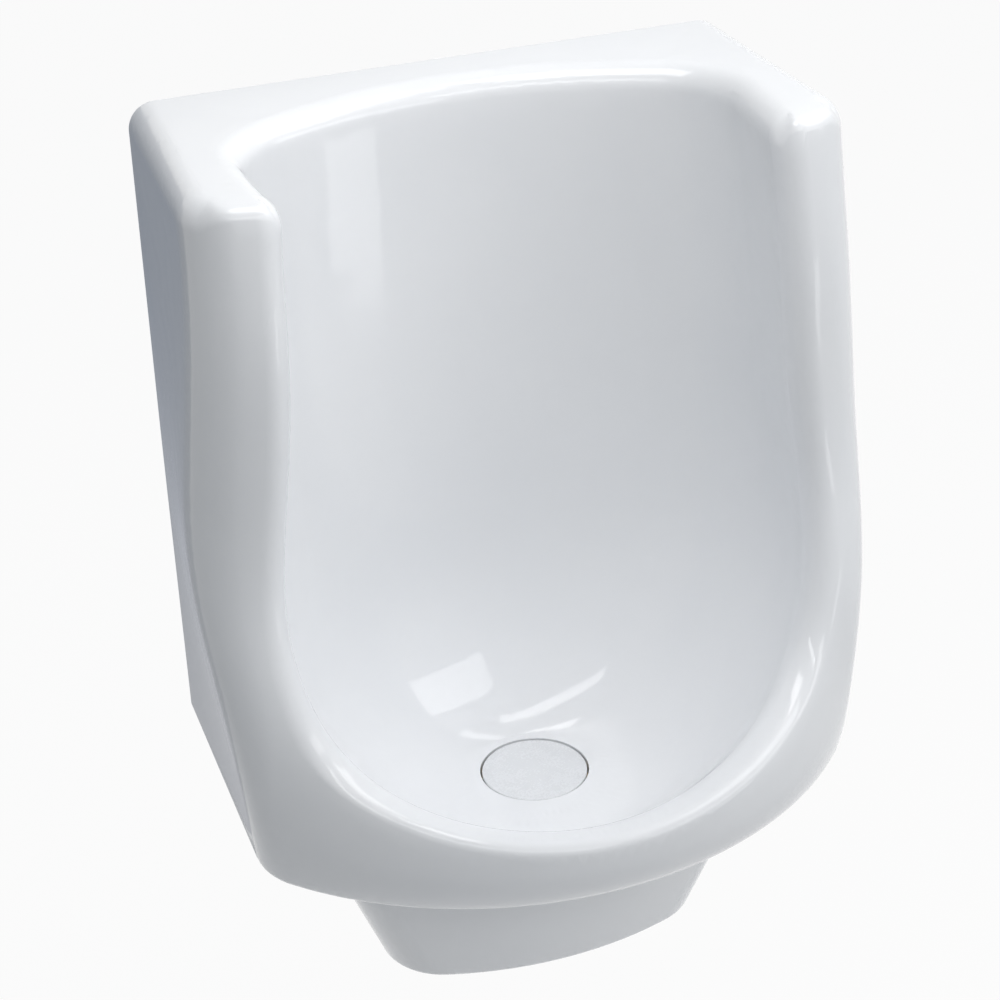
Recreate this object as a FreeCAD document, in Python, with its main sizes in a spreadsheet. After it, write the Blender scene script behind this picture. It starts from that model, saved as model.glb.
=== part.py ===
import FreeCAD, Part
import math
import os
import re
import Sketcher

# Waterless wall-hung urinal, millimetres.
# Frame: origin at the centre of the outlet on the finished wall, +Z up, the wall is the plane y = 0,
# the bowl faces -Y and +X is to the right of someone who looks at the wall.

SIZES = {
    # china casting
    "body_width": 506,
    "wall_inset": 25,
    "rim_width": 56,
    "projection": 357,
    "deck_height": 606,
    "lip_rise": 2,
    "shell_corner": 52,
    "china_wall": 10,
    "front_wall": 15,
    "back_plate": 12,
    "bowl_floor_height": 91,
    "rim_round": 18,
    "deck_round": 20,
    "lip_round": 10,
    # skirt round the trap
    "skirt_return": 40,
    "skirt_flare": 60,
    "skirt_rake": 57,
    "trap_clearance": 12,
    "skirt_bottom_drop": 54,
    "skirt_corner": 52,
    "skirt_front_radius": 300,
    "skirt_round": 9,
    "skirt_overlap": 10,
    # back of the casting
    "window_width": 380,
    "window_drop": 115,
    "window_bottom": 138,
    "outlet_clearance": 20,
    "slot_width": 70,
    "slot_drop": 40,
    "slot_height": 50,
    "slot_spacing": 240,
    "anchor_spacing": 300,
    "anchor_height": 118,
    "anchor_hole": 12,
    # drain well
    "drain_front": 175,
    "well_radius": 42,
    "well_depth": 15,
    "ledge_thickness": 10,
    "pad_radius": 58,
    "neck_clearance": 1,
    # drain flange and its gaskets
    "flange_radius": 41.4,
    "flange_thickness": 4,
    "neck_radius": 36.5,
    "seat_bore": 34,
    "thread_length": 16,
    "flange_gasket_thickness": 2,
    "housing_gasket_thickness": 3,
    # lift-out trap insert
    "lid_radius": 38,
    "lid_thickness": 3,
    "lid_skirt": 9,
    "inlet_count": 10,
    "inlet_radius": 2,
    "cup_gap": 0.6,
    "cup_wall": 2,
    "cup_head_height": 33,
    "cup_head_wall": 4.2,
    "cup_length": 68,
    "standpipe_radius": 10,
    "standpipe_top_drop": 21,
    "bell_radius": 22,
    "bell_wall": 2,
    "bell_floor_gap": 12,
    "o_ring_section": 2.6,
    "o_ring_gap": 0.25,
    "upper_ring_drop": 11,
    "lower_ring_drop": 21,
    "groove_clearance": 0.5,
    # drain cover
    "cover_gap": 1.5,
    "cover_thickness": 3.5,
    "cover_bevel": 0.6,
    "cover_foot_height": 2,
    "cover_foot_radius": 3,
    "cover_foot_circle": 32,
    "cover_foot_count": 3,
    "peg_radius": 4,
    "peg_length": 3.6,
    "peg_clearance": 0.3,
    # trap housing
    "collar_radius": 54,
    "collar_height": 22,
    "thread_gap": 0.05,
    "chamber_radius": 44,
    "housing_wall": 4,
    "chamber_drop": 38,
    "spigot_reach": 90,
    "spigot_radius": 35.5,
    "socket_depth": 24,
    "pipe_stop": 1,
    # outlet joint
    "pipe_radius": 28.5,
    "tail_radius": 30.15,
    "pipe_wall": 3,
    "pipe_reach": 35,
    "joint_gap": 0.25,
    "slip_washer_thickness": 4,
    "nut_radius": 41,
    "nut_length": 28,
    "nut_cap": 6,
    "nut_rib_count": 8,
    "nut_rib_width": 9,
    "nut_rib_height": 3.5,
    "nut_thread_gap": 0.3,
    # wall flange
    "wall_flange_radius": 66,
    "wall_flange_height": 88,
    "wall_flange_thickness": 7,
    "wall_hub_radius": 38,
    "wall_hub_length": 14,
    "wall_gasket_thickness": 3,
    "screw_circle": 52,
    "screw_radius": 3,
    "screw_hole_gap": 0.5,
    "screw_head_radius": 6.5,
    "screw_head_height": 5,
    "screw_reach": 30,
    "washer_radius": 9,
    "washer_thickness": 1.5,
    # wall hangers
    "hanger_width": 60,
    "hanger_sheet": 3,
    "hanger_drop": 46,
    "hanger_lip": 12,
    "hanger_clearance": 1,
    "hanger_hole": 6.5,
    "hanger_hole_spacing": 36,
    # one overrun for every cut
    "overrun": 8,
}

# Outer shell, from the lip up: share of the height from lip to deck, of half the body width,
# of the projection for the front, of half the body width for the front radius,
# and of the largest corner radius.
SHELL_SHARES = (
    (0.000, 0.909, 0.961, 1.185, 1.00),
    (0.142, 0.943, 0.970, 1.304, 0.92),
    (0.288, 0.976, 0.821, 2.766, 0.81),
    (0.435, 1.000, 0.734, 4.741, 0.73),
    (0.610, 0.986, 0.708, 5.531, 0.69),
    (0.805, 0.949, 0.702, 5.926, 0.69),
    (1.000, 0.933, 0.699, 5.926, 0.69),
)

# Bowl and alcove, from the floor up: share of the height from floor to just over the deck,
# of half the bowl, of the projection for the front, of the drain's distance for the back wall,
# and of half the bowl for the back corners.
BOWL_SHARES = (
    (0.000, 0.254, 0.633, 0.720, 0.21),
    (0.085, 0.680, 0.905, 0.549, 0.51),
    (0.188, 0.878, 1.020, 0.434, 0.61),
    (0.348, 1.000, 1.204, 0.360, 0.57),
    (0.556, 0.970, 1.261, 0.309, 0.45),
    (0.782, 0.924, 1.303, 0.286, 0.37),
    (1.000, 0.878, 1.317, 0.274, 0.33),
)
# The bowl's back wall meets its corners at one angle at every level; this is the angle's sine.
BACK_TURN_SHARE = 0.46

# Names for the ends of a curve and for the sketch's own axes.
START, END, CENTRE = range(1, 4)
V_AXIS, H_AXIS = range(-2, 0)
ORIGIN = H_AXIS
UP = FreeCAD.Vector(0, 0, 1)
# The rotation that lays a part's own Z along the outlet, towards the wall.
TO_WALL = FreeCAD.Rotation(FreeCAD.Vector(1, 0, 0), -90)

doc = FreeCAD.newDocument("waterless_urinal")
sheet = doc.addObject("Spreadsheet::Sheet", "Sizes")


def fill_sheet():
    for row, (alias, value) in enumerate(SIZES.items(), start=1):
        sheet.set(f"A{row}", alias)
        sheet.set(f"B{row}", str(value))
        sheet.setAlias(f"B{row}", alias)
    doc.recompute()


def size(formula):
    """The value of a formula written in the sheet's names."""
    return float(sheet.evalExpression(in_cells(formula)))


def in_cells(formula):
    def in_sheet(word):
        return "Sizes." + word[0] if word[0] in SIZES else word[0]

    return re.sub(r"[a-z_]+[a-z_0-9]*", in_sheet, formula)


def bind(thing, prop, formula):
    thing.setExpression(prop, in_cells(formula))


def move(thing, x="0", y="0", z="0"):
    """Bind a placement's base to formulas."""
    for axis, formula in zip("xyz", (x, y, z)):
        bind(thing, f"Placement.Base.{axis}", formula)


def dimension(sketch, kind, *where, formula):
    """Add a driving constraint whose value follows the sheet."""
    index = sketch.addConstraint(Sketcher.Constraint(kind, *where, size(formula)))
    bind(sketch, f"Constraints[{index}]", formula)


def place_point(sketch, geometry, end, x, y):
    """Hold a point at formulas x and y, on an axis where the formula is zero."""
    for formula, kind, axis in ((x, "DistanceX", V_AXIS), (y, "DistanceY", H_AXIS)):
        if formula == "0":
            sketch.addConstraint(Sketcher.Constraint("PointOnObject", geometry, end, axis))
        else:
            dimension(sketch, kind, ORIGIN, START, geometry, end, formula=formula)


def draw_polygon(sketch, outline):
    points = [FreeCAD.Vector(size(x), size(y), 0) for x, y in outline]
    count = len(points)
    first = sketch.GeometryCount
    for index, point in enumerate(points):
        sketch.addGeometry(Part.LineSegment(point, points[(index + 1) % count]))
    for index in range(count):
        following = first + (index + 1) % count
        sketch.addConstraint(Sketcher.Constraint("Coincident", first + index, END, following, START))
    for index, (x, y) in enumerate(outline):
        place_point(sketch, first + index, START, x, y)


def draw_circle(sketch, x, y, radius):
    centre = FreeCAD.Vector(size(x), size(y), 0)
    index = sketch.addGeometry(Part.Circle(centre, UP, size(radius)))
    place_point(sketch, index, CENTRE, x, y)
    dimension(sketch, "Radius", index, formula=radius)


def origin_plane(body, role):
    for feature in body.Origin.OriginFeatures:
        if feature.Role == role:
            return feature


def new_body(label):
    body = doc.addObject("PartDesign::Body", label)
    body.Label = label
    return body


def new_sketch(body, name, role):
    sketch = body.newObject("Sketcher::SketchObject", f"{body.Label}_{name}")
    sketch.AttachmentSupport = (origin_plane(body, role), "")
    sketch.MapMode = "FlatFace"
    return sketch


def turn(label, outline):
    """A body turned round its own Z from (radius, height) formulas."""
    body = new_body(label)
    sketch = new_sketch(body, "profile", "XZ_Plane")
    draw_polygon(sketch, outline)
    turned = body.newObject("PartDesign::Revolution", f"{label}_turned")
    turned.Profile = sketch
    turned.ReferenceAxis = (sketch, ["V_Axis"])
    turned.Angle = 360
    doc.recompute()
    return body


def pocket_through(body, sketch, name):
    pocket = body.newObject("PartDesign::Pocket", name)
    pocket.Profile = sketch
    pocket.Type = "ThroughAll"
    pocket.Midplane = True
    doc.recompute()
    return pocket


def ring_outline(inner, outer, bottom, top):
    return [(inner, bottom), (outer, bottom), (outer, top), (inner, top)]


def on_drain(body):
    move(body, y="-drain_front")
    return body


def on_outlet(body):
    body.Placement.Rotation = TO_WALL
    return body


def pattern_round(body, feature, count):
    """Repeat a feature round the body's Z."""
    pattern = body.newObject("PartDesign::PolarPattern", f"{feature.Name}_pattern")
    pattern.Originals = [feature]
    pattern.Axis = (origin_plane(body, "Z_Axis"), [""])
    pattern.Angle = 360
    bind(pattern, "Occurrences", count)
    body.Tip = pattern
    doc.recompute()


def cylinder(name, radius, height):
    thing = doc.addObject("Part::Cylinder", name)
    bind(thing, "Radius", radius)
    bind(thing, "Height", height)
    return thing


def box(name, length, width, height):
    thing = doc.addObject("Part::Box", name)
    bind(thing, "Length", length)
    bind(thing, "Width", width)
    bind(thing, "Height", height)
    return thing


def fuse(name, things):
    thing = doc.addObject("Part::MultiFuse", name)
    thing.Shapes = things
    return thing


def cut(name, base, tool):
    thing = doc.addObject("Part::Cut", name)
    thing.Base = base
    thing.Tool = tool
    return thing


def group(label, things):
    thing = doc.addObject("Part::Compound", label)
    thing.Links = things
    return thing


def round_edges(name, base, radius, wanted):
    """Round the edges of base whose middle point passes the test."""
    doc.recompute()
    chosen = []
    for index, edge in enumerate(base.Shape.Edges, start=1):
        middle = edge.valueAt((edge.FirstParameter + edge.LastParameter) / 2)
        if wanted(edge, middle):
            chosen.append((index, size(radius), size(radius)))
    rounded = doc.addObject("Part::Fillet", name)
    rounded.Base = base
    rounded.Edges = chosen
    doc.recompute()
    return rounded


def shell_section(name, height, back, back_half, half, front, front_radius, corner):
    """One level of the casting: straight back, flared sides, round corners and a bowed front."""
    sketch = doc.addObject("Sketcher::SketchObject", name)
    back_y, start_x, side_x, reach = size(back), size(back_half), size(half), size(front)
    bow, round_off = size(front_radius), size(corner)
    bow_y = bow - reach
    corner_x = side_x - round_off
    corner_y = bow_y - math.sqrt((bow - round_off) ** 2 - corner_x ** 2)
    run = math.hypot(corner_x - start_x, corner_y - back_y)
    heading = math.atan2(corner_y - back_y, corner_x - start_x) + math.asin(round_off / run)
    side = math.sqrt(run ** 2 - round_off ** 2)
    side_end = FreeCAD.Vector(start_x + side * math.cos(heading), back_y + side * math.sin(heading), 0)
    side_angle = math.atan2(side_end.y - corner_y, side_end.x - corner_x)
    bow_angle = math.atan2(corner_y - bow_y, corner_x)
    turn_round = -math.pi
    sketch.addGeometry([
        Part.LineSegment(FreeCAD.Vector(-start_x, back_y, 0), FreeCAD.Vector(start_x, back_y, 0)),
        Part.LineSegment(FreeCAD.Vector(start_x, back_y, 0), side_end),
        Part.ArcOfCircle(
            Part.Circle(FreeCAD.Vector(corner_x, corner_y, 0), UP, round_off), bow_angle, side_angle),
        Part.ArcOfCircle(
            Part.Circle(FreeCAD.Vector(0, bow_y, 0), UP, bow), turn_round - bow_angle, bow_angle),
        Part.ArcOfCircle(
            Part.Circle(FreeCAD.Vector(-corner_x, corner_y, 0), UP, round_off),
            turn_round - side_angle, turn_round - bow_angle),
        Part.LineSegment(
            FreeCAD.Vector(-side_end.x, side_end.y, 0), FreeCAD.Vector(-start_x, back_y, 0)),
    ])
    back_line, right_side, right_corner, bow_arc, left_corner, left_side = range(6)
    crown = sketch.addGeometry(Part.Point(FreeCAD.Vector(0, -reach, 0)), True)
    rule = Sketcher.Constraint
    sketch.addConstraint([
        rule("Symmetric", back_line, START, back_line, END, V_AXIS),
        rule("Coincident", back_line, END, right_side, START),
        rule("Coincident", left_side, END, back_line, START),
        rule("Tangent", right_side, END, right_corner, END),
        rule("Tangent", right_corner, START, bow_arc, END),
        rule("Tangent", bow_arc, START, left_corner, END),
        rule("Tangent", left_corner, START, left_side, START),
        rule("PointOnObject", bow_arc, CENTRE, V_AXIS),
        rule("Symmetric", right_corner, CENTRE, left_corner, CENTRE, V_AXIS),
        rule("PointOnObject", crown, START, V_AXIS),
        rule("PointOnObject", crown, START, bow_arc),
    ])
    dimension(sketch, "DistanceY", ORIGIN, START, back_line, START, formula=back)
    dimension(sketch, "DistanceX", back_line, START, back_line, END, formula=f"2 * ({back_half})")
    dimension(sketch, "Radius", right_corner, formula=corner)
    dimension(sketch, "Radius", bow_arc, formula=front_radius)
    dimension(sketch, "DistanceX", ORIGIN, START, right_corner, CENTRE, formula=f"{half} - ({corner})")
    dimension(sketch, "DistanceY", crown, START, ORIGIN, START, formula=front)
    move(sketch, z=height)
    return sketch


def half_oval(side_x, centre_y, reach):
    """Half an oval from left to right through the front, and the direction of its long axis."""
    centre = FreeCAD.Vector(0, centre_y, 0)
    side = FreeCAD.Vector(side_x, centre_y, 0)
    quarter = math.pi / 2
    if centre_y + reach > side_x:
        front = FreeCAD.Vector(0, -reach, 0)
        return Part.ArcOfEllipse(Part.Ellipse(front, side, centre), -quarter, quarter), "Vertical"
    rear = FreeCAD.Vector(0, 2 * centre_y + reach, 0)
    return Part.ArcOfEllipse(Part.Ellipse(side, rear, centre), 2 * quarter, 4 * quarter), "Horizontal"


def bowl_section(name, height, half, front, back, back_radius, corner):
    """One level of the bowl: bowed back wall, round corners and a half-oval front."""
    sketch = doc.addObject("Sketcher::SketchObject", name)
    side_x, reach, wall_y = size(half), size(front), -size(back)
    bow, round_off = size(back_radius), size(corner)
    bow_y = wall_y - bow
    corner_x = side_x - round_off
    corner_y = bow_y + math.sqrt((bow - round_off) ** 2 - corner_x ** 2)
    bow_angle = math.atan2(corner_y - bow_y, corner_x)
    half_turn = math.pi
    oval, long_axis = half_oval(side_x, corner_y, reach)
    sketch.addGeometry([
        Part.ArcOfCircle(
            Part.Circle(FreeCAD.Vector(0, bow_y, 0), UP, bow), bow_angle, half_turn - bow_angle),
        Part.ArcOfCircle(
            Part.Circle(FreeCAD.Vector(-corner_x, corner_y, 0), UP, round_off),
            half_turn - bow_angle, half_turn),
        oval,
        Part.ArcOfCircle(Part.Circle(FreeCAD.Vector(corner_x, corner_y, 0), UP, round_off), 0, bow_angle),
    ])
    back_arc, left_corner, front_oval, right_corner = range(4)
    back_crown = sketch.addGeometry(Part.Point(FreeCAD.Vector(0, wall_y, 0)), True)
    front_crown = sketch.addGeometry(Part.Point(FreeCAD.Vector(0, -reach, 0)), True)
    oval_axis = sketch.GeometryCount
    sketch.exposeInternalGeometry(front_oval)
    rule = Sketcher.Constraint
    sketch.addConstraint([
        rule("Tangent", back_arc, END, left_corner, START),
        rule("Tangent", left_corner, END, front_oval, START),
        rule("Tangent", front_oval, END, right_corner, START),
        rule("Tangent", right_corner, END, back_arc, START),
        rule(long_axis, oval_axis),
        rule("Horizontal", front_oval, CENTRE, front_oval, END),
        rule("PointOnObject", front_oval, CENTRE, V_AXIS),
        rule("PointOnObject", back_arc, CENTRE, V_AXIS),
        rule("PointOnObject", back_crown, START, V_AXIS),
        rule("PointOnObject", back_crown, START, back_arc),
        rule("PointOnObject", front_crown, START, V_AXIS),
        rule("PointOnObject", front_crown, START, front_oval),
        rule("Equal", left_corner, right_corner),
    ])
    dimension(sketch, "DistanceX", ORIGIN, START, front_oval, END, formula=half)
    dimension(sketch, "DistanceY", front_crown, START, ORIGIN, START, formula=front)
    dimension(sketch, "DistanceY", back_crown, START, ORIGIN, START, formula=back)
    dimension(sketch, "Radius", back_arc, formula=back_radius)
    dimension(sketch, "Radius", right_corner, formula=corner)
    move(sketch, z=height)
    return sketch


def loft(name, sections):
    thing = doc.addObject("Part::Loft", name)
    thing.Sections = sections
    thing.Solid = True
    return thing


LIP = "(bowl_floor_height + lip_rise)"


def shell_loft(name, inset, front_inset, back):
    """The casting's outside, or its inside when inset by the wall."""
    sections = []
    for level, (rise, width, front, bow, corner) in enumerate(SHELL_SHARES):
        sections.append(shell_section(
            f"{name}_{level}",
            f"{LIP} + {inset} + {rise} * (deck_height - {LIP} - 2 * {inset})",
            back,
            f"body_width / 2 - wall_inset - {inset}",
            f"body_width / 2 * {width} - {inset}",
            f"projection * {front} - {front_inset}",
            f"body_width / 2 * {bow} - {inset}",
            f"shell_corner * {corner} - {inset}"))
    return loft(name, sections)


BOWL_HALF = "(body_width / 2 - rim_width)"


def bowl_loft(name, grow):
    """The bowl's inside, or its outside when grown by the wall."""
    sections = []
    for level, (rise, width, front, back, corner) in enumerate(BOWL_SHARES):
        sections.append(bowl_section(
            f"{name}_{level}",
            f"bowl_floor_height - {grow} + {rise} * (deck_height + 2 * overrun - bowl_floor_height)",
            f"{BOWL_HALF} * {width} + {grow}",
            f"projection * {front} + {grow}",
            f"drain_front * {back} - {grow}",
            f"{BOWL_HALF} * ({corner} + ({width} - {corner}) / {BACK_TURN_SHARE}) + {grow}",
            f"{BOWL_HALF} * {corner} + {grow}"))
    return loft(name, sections)


# The skirt goes round the wall flange and the trap housing.
SKIRT_HALF = "wall_flange_radius + outlet_clearance + skirt_return"
SKIRT_FRONT = "drain_front + chamber_radius + trap_clearance"


def skirt_loft(name, inset, back, top, bottom):
    sections = [
        shell_section(
            f"{name}_{level}", height, back,
            f"{half} - {inset}", f"{half} - {inset}", f"{front} - {inset}",
            f"skirt_front_radius - {inset}", f"skirt_corner - {inset}")
        for level, (height, half, front) in enumerate((
            (top, f"{SKIRT_HALF} + skirt_flare", f"{SKIRT_FRONT} + skirt_rake"),
            (bottom, SKIRT_HALF, SKIRT_FRONT),
        ))
    ]
    return loft(name, sections)


def is_on(shape, point):
    return shape.Shells[0].distToShape(Part.Vertex(point))[0] < size("joint_gap")


def casting_hollow(trap_bay):
    """The space inside the china, open through the back and under the skirt."""
    inside = shell_loft("inside", "china_wall", "front_wall", "-back_plate")
    bowl_outside = bowl_loft("bowl_outside", "china_wall")
    window = box("back_window", "window_width", "back_plate + 2 * overrun",
                 "deck_height - window_drop - window_bottom")
    move(window, x="-window_width / 2", y="-back_plate - overrun", z="window_bottom")
    outlet_window = box(
        "outlet_window", "2 * (wall_flange_radius + outlet_clearance)", "back_plate + 2 * overrun",
        "window_bottom + skirt_bottom_drop + 2 * overrun")
    move(outlet_window, x="-wall_flange_radius - outlet_clearance", y="-back_plate - overrun",
         z="-skirt_bottom_drop - overrun")
    space = fuse("hollow_space", [inside, trap_bay, window, outlet_window])
    return cut("hollow", space, bowl_outside)


SLOT_TOP = "(deck_height - slot_drop)"


def hanger_slot(name, side):
    slot = box(name, "slot_width", "back_plate + 2 * overrun", "slot_height")
    move(slot, x=f"{side} * slot_spacing / 2 - slot_width / 2", y="-back_plate - overrun",
         z=f"{SLOT_TOP} - slot_height")
    return slot


def anchor_hole(name, side):
    hole = cylinder(name, "anchor_hole / 2", "back_plate + 2 * overrun")
    hole.Placement.Rotation = TO_WALL
    move(hole, x=f"{side} * anchor_spacing / 2", y="-back_plate - overrun", z="anchor_height")
    return hole


def drain_pad():
    pad = cylinder("drain_pad", "pad_radius", "well_depth + ledge_thickness - china_wall / 2")
    move(pad, y="-drain_front", z="bowl_floor_height - well_depth - ledge_thickness")
    return pad


def drain_bores():
    """The well that takes the cover and flange, and the throat that the flange's neck goes through."""
    well = cylinder("drain_well", "well_radius", "well_depth + overrun")
    move(well, y="-drain_front", z="bowl_floor_height - well_depth")
    throat = cylinder("drain_throat", "neck_radius + neck_clearance",
                      "well_depth + ledge_thickness + 2 * overrun")
    move(throat, y="-drain_front", z="bowl_floor_height - well_depth - ledge_thickness - overrun")
    return [well, throat]


def rolled_shell():
    """The casting's outside, with its deck and its lip rolled over as far as the wall."""
    shell = shell_loft("shell", "0", "0", "overrun")
    doc.recompute()
    deck, lip, behind, near = size("deck_height"), size(LIP), size("overrun"), size("joint_gap")

    def on_lip(edge, middle):
        return edge.BoundBox.ZMax < lip + near and middle.y < behind - near

    def on_deck(edge, middle):
        return edge.BoundBox.ZMin > deck - near and middle.y < behind - near

    rolled = round_edges("lip_rolled", shell, "lip_round", on_lip)
    return round_edges("deck_rolled", rolled, "deck_round", on_deck)


def roll_edges(casting, shell, bowl, trap_bay):
    """Roll over the bowl's rim, from the deck round the front lip, and the foot of the skirt."""
    foot, near = -size("skirt_bottom_drop"), size("joint_gap")

    def on_rim(edge, middle):
        return is_on(shell, middle) and is_on(bowl, middle)

    def on_foot(edge, middle):
        return edge.BoundBox.ZMax < foot + near and middle.y < -near and not is_on(trap_bay, middle)

    rolled = round_edges("rim_rolled", casting, "rim_round", on_rim)
    return round_edges("china_body", rolled, "skirt_round", on_foot)


def china_body():
    shell = rolled_shell()
    skirt = skirt_loft("skirt", "0", "overrun", f"{LIP} + skirt_overlap", "-skirt_bottom_drop")
    bowl = bowl_loft("bowl", "0")
    trap_bay = skirt_loft("trap_bay", "china_wall", "-back_plate", f"{LIP} + 2 * china_wall",
                          "-skirt_bottom_drop - overrun")
    wall = box("wall_side", "2 * body_width", "projection", "2 * deck_height")
    move(wall, x="-body_width", z="-deck_height / 2")
    outside = cut("casting_at_wall", fuse("casting_outside", [shell, skirt]), wall)
    emptied = cut("casting_emptied", outside, casting_hollow(trap_bay))
    scooped = cut("casting_scooped", emptied, bowl)
    padded = fuse("casting_padded", [scooped, drain_pad()])
    holes = fuse("casting_holes", [
        *drain_bores(),
        hanger_slot("left_slot", -1), hanger_slot("right_slot", 1),
        anchor_hole("left_anchor_hole", -1), anchor_hole("right_anchor_hole", 1),
    ])
    casting = cut("casting", padded, holes)
    doc.recompute()
    return roll_edges(casting, shell.Shape, bowl.Shape, trap_bay.Shape)


# Heights of the trap stack, as formulas.
LEDGE = "bowl_floor_height - well_depth"
FLANGE_SEAT = f"{LEDGE} + flange_gasket_thickness"
FLANGE_TOP = f"{FLANGE_SEAT} + flange_thickness"
PAD_BOTTOM = f"{LEDGE} - ledge_thickness"
COLLAR_TOP = f"{PAD_BOTTOM} - housing_gasket_thickness"
NECK_BOTTOM = f"{COLLAR_TOP} - thread_length"
LID_TOP = f"{FLANGE_TOP} + lid_thickness"
CUP_BOTTOM = f"{FLANGE_TOP} - cup_length"
CUP_RADIUS = "seat_bore - cup_gap"


def flange_gasket():
    return on_drain(turn("flange_gasket", ring_outline(
        "neck_radius + neck_clearance", "flange_radius", LEDGE, FLANGE_SEAT)))


def drain_flange():
    return on_drain(turn("drain_flange", [
        ("seat_bore", FLANGE_TOP),
        ("flange_radius", FLANGE_TOP),
        ("flange_radius", FLANGE_SEAT),
        ("neck_radius", FLANGE_SEAT),
        ("neck_radius", NECK_BOTTOM),
        ("seat_bore", NECK_BOTTOM),
    ]))


def housing_gasket():
    return on_drain(turn("housing_gasket", ring_outline(
        "neck_radius + neck_clearance", "collar_radius", COLLAR_TOP, PAD_BOTTOM)))


def trap_lid():
    skirt_outer = "seat_bore - cup_gap - cup_head_wall - joint_gap"
    skirt_inner = f"{skirt_outer} - cup_wall"
    body = on_drain(turn("trap_lid", [
        ("0", f"{LID_TOP} - lid_thickness / 2"),
        ("peg_radius + peg_clearance", f"{LID_TOP} - lid_thickness / 2"),
        ("peg_radius + peg_clearance", LID_TOP),
        ("lid_radius", LID_TOP),
        ("lid_radius", FLANGE_TOP),
        (skirt_outer, FLANGE_TOP),
        (skirt_outer, f"{FLANGE_TOP} - lid_skirt"),
        (skirt_inner, f"{FLANGE_TOP} - lid_skirt"),
        (skirt_inner, FLANGE_TOP),
        ("0", FLANGE_TOP),
    ]))
    sketch = new_sketch(body, "inlet", "XY_Plane")
    draw_circle(sketch, f"(bell_radius + {skirt_inner}) / 2", "0", "inlet_radius")
    inlet = pocket_through(body, sketch, "trap_lid_inlets")
    pattern_round(body, inlet, "inlet_count")
    return body


def trap_bell():
    return on_drain(turn("trap_bell", [
        ("0", FLANGE_TOP),
        ("bell_radius", FLANGE_TOP),
        ("bell_radius", f"{CUP_BOTTOM} + cup_wall + bell_floor_gap"),
        ("bell_radius - bell_wall", f"{CUP_BOTTOM} + cup_wall + bell_floor_gap"),
        ("bell_radius - bell_wall", f"{FLANGE_TOP} - bell_wall"),
        ("0", f"{FLANGE_TOP} - bell_wall"),
    ]))


def groove_outline(drop):
    """A seal groove in the cup's head, listed from below."""
    root = f"{CUP_RADIUS} + cup_gap - o_ring_gap - o_ring_section"
    half = "(o_ring_section + groove_clearance) / 2"
    return [
        (CUP_RADIUS, f"{FLANGE_TOP} - {drop} - {half}"),
        (root, f"{FLANGE_TOP} - {drop} - {half}"),
        (root, f"{FLANGE_TOP} - {drop} + {half}"),
        (CUP_RADIUS, f"{FLANGE_TOP} - {drop} + {half}"),
    ]


def trap_cup():
    head_bottom = f"{FLANGE_TOP} - cup_head_height"
    body_radius = f"{CUP_RADIUS} - cup_wall"
    return on_drain(turn("trap_cup", [
        ("standpipe_radius - cup_wall", CUP_BOTTOM),
        (body_radius, CUP_BOTTOM),
        (body_radius, f"{head_bottom} - cup_wall"),
        (CUP_RADIUS, head_bottom),
        *groove_outline("lower_ring_drop"),
        *groove_outline("upper_ring_drop"),
        (CUP_RADIUS, FLANGE_TOP),
        (f"{CUP_RADIUS} - cup_head_wall", FLANGE_TOP),
        (f"{CUP_RADIUS} - cup_head_wall", f"{CUP_BOTTOM} + cup_wall"),
        ("standpipe_radius", f"{CUP_BOTTOM} + cup_wall"),
        ("standpipe_radius", f"{FLANGE_TOP} - standpipe_top_drop"),
        ("standpipe_radius - cup_wall", f"{FLANGE_TOP} - standpipe_top_drop"),
    ]))


def o_ring(label, drop):
    ring = doc.addObject("Part::Torus", label)
    bind(ring, "Radius1", "seat_bore - o_ring_gap - o_ring_section / 2")
    bind(ring, "Radius2", "o_ring_section / 2")
    move(ring, y="-drain_front", z=f"{FLANGE_TOP} - {drop}")
    return ring


def drain_cover():
    top = f"{LID_TOP} + cover_foot_height + cover_thickness"
    under = f"{LID_TOP} + cover_foot_height"
    body = on_drain(turn("drain_cover", [
        ("0", top),
        ("well_radius - cover_gap - cover_bevel", top),
        ("well_radius - cover_gap", f"{top} - cover_bevel"),
        ("well_radius - cover_gap", under),
        ("peg_radius", under),
        ("peg_radius", f"{under} - peg_length + cover_bevel"),
        ("peg_radius - cover_bevel", f"{under} - peg_length + cover_bevel / 2"),
        ("0", f"{under} - peg_length + cover_bevel / 2"),
    ]))
    sketch = new_sketch(body, "foot", "XY_Plane")
    bind(sketch, "AttachmentOffset.Base.z", LID_TOP)
    draw_circle(sketch, "cover_foot_circle", "0", "cover_foot_radius")
    foot = body.newObject("PartDesign::Pad", "drain_cover_feet")
    foot.Profile = sketch
    bind(foot, "Length", "cover_foot_height + cover_thickness / 2")
    doc.recompute()
    pattern_round(body, foot, "cover_foot_count")
    return body


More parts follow.
